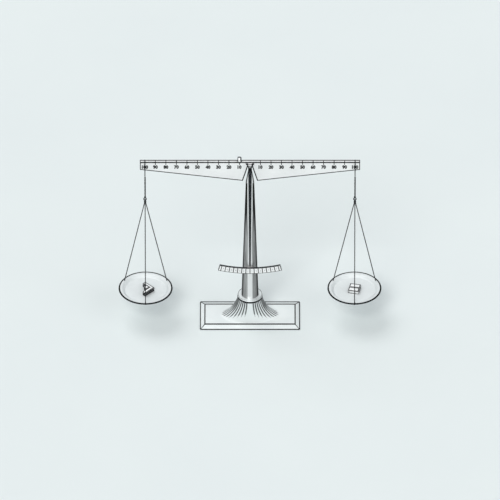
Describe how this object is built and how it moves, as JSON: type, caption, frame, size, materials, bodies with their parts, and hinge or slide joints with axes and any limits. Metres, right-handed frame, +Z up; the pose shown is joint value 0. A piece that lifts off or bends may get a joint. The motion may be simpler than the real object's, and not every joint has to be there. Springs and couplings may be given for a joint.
{
  "type": "balance scale",
  "caption": "Equal-arm balance: graduated beam with a rider on a tapered column, an index pointer over an arc, and pans hung on cords, with loose weights.",
  "frame": {"origin": "on the table under the middle of the base", "axes": "+X along the beam to the reader's right, +Y to the back, +Z up; the pointer and the graduations face -Y"},
  "size_m": [0.3424, 0.0704, 0.2567],
  "materials": {
    "enamel": "pale grey-blue stoving enamel on cast iron",
    "nickel": "polished nickel plate",
    "gunmetal": "turned steel, bright down the front, browned above",
    "plain_steel": "turned bright steel",
    "agate": "ground and polished agate",
    "silvered_scale": "silvered brass with black-filled divisions",
    "silvered_beam": "satin nickel plate with black-filled divisions",
    "blued_steel": "blued and oiled steel",
    "wire": "blackened steel wire",
    "cord": "black twisted silk",
    "pan_metal": "spun sheet, nickel plated",
    "weight_metal": "bright nickel-plated steel"
  },
  "bodies": {
    "stand": {"base_casting": "enamel", "column_collar": "nickel", "column_tube": "gunmetal", "column_plug": "plain_steel", "column_bolt": "plain_steel", "column_washer": "plain_steel", "column_head": "nickel", "fulcrum_bearing": "agate", "index_arc": "silvered_scale", "arc_saddle": "gunmetal", "arc_screw": "plain_steel"},
    "beam": {"beam": "silvered_beam", "beam_knife": "plain_steel", "pointer_boss": "blued_steel", "boss_screws": "plain_steel", "pointer": "blued_steel", "pointer_rivet": "blued_steel"},
    "rider": {"rider": "blued_steel"},
    "left_stirrup": {"left_stirrup": "wire"},
    "right_stirrup": {"right_stirrup": "wire"},
    "left_pan": {"left_ring": "wire", "left_knot": "cord", "left_cord_front": "cord", "left_cord_right": "cord", "left_cord_left": "cord", "left_pan": "pan_metal", "left_rim_knots": "cord"},
    "right_pan": {"right_ring": "wire", "right_knot": "cord", "right_cord_front": "cord", "right_cord_right": "cord", "right_cord_left": "cord", "right_pan": "pan_metal", "right_rim_knots": "cord"},
    "weight_plate": {"weight_plate": "weight_metal"},
    "weight_ell": {"weight_ell": "weight_metal"},
    "weight_square": {"weight_square": "weight_metal"},
    "weight_bar_front": {"weight_bar_front": "weight_metal"},
    "weight_bar_rear": {"weight_bar_rear": "weight_metal"}
  },
  "joints": [
    {"name": "beam_tilt", "type": "hinge", "parent": "stand", "child": "beam", "pos_m": [0, 0, 0.246], "axis": [0, 1, 0], "range_deg": [-8, 8]},
    {"name": "rider_slide", "type": "slide", "parent": "beam", "child": "rider", "axis": [1, 0, 0], "range_m": [-0.1164, 0.1436]},
    {"name": "left_stirrup_swing", "type": "hinge", "parent": "beam", "child": "left_stirrup", "pos_m": [-0.136, 0, 0.2513], "axis": [0, 1, 0], "range_deg": [-12, 12]},
    {"name": "left_pan_swing", "type": "hinge", "parent": "left_stirrup", "child": "left_pan", "pos_m": [-0.136, 0, 0.189], "axis": [1, 0, 0], "range_deg": [-12, 12]},
    {"name": "right_stirrup_swing", "type": "hinge", "parent": "beam", "child": "right_stirrup", "pos_m": [0.136, 0, 0.2513], "axis": [0, 1, 0], "range_deg": [-12, 12]},
    {"name": "right_pan_swing", "type": "hinge", "parent": "right_stirrup", "child": "right_pan", "pos_m": [0.136, 0, 0.189], "axis": [1, 0, 0], "range_deg": [-12, 12]},
    {"name": "plate_lift", "type": "slide", "parent": "left_pan", "child": "weight_plate", "axis": [0, 0.766, 0.6428], "range_m": [0, 0.08]},
    {"name": "ell_lift", "type": "slide", "parent": "weight_plate", "child": "weight_ell", "axis": [0, 0, 1], "range_m": [0, 0.02]},
    {"name": "square_lift", "type": "slide", "parent": "weight_plate", "child": "weight_square", "axis": [0, 0, 1], "range_m": [0, 0.02]},
    {"name": "front_bar_lift", "type": "slide", "parent": "right_pan", "child": "weight_bar_front", "axis": [0, 0, 1], "range_m": [0, 0.03]},
    {"name": "rear_bar_lift", "type": "slide", "parent": "right_pan", "child": "weight_bar_rear", "axis": [0, 0.766, 0.6428], "range_m": [0, 0.08]}
  ]
}
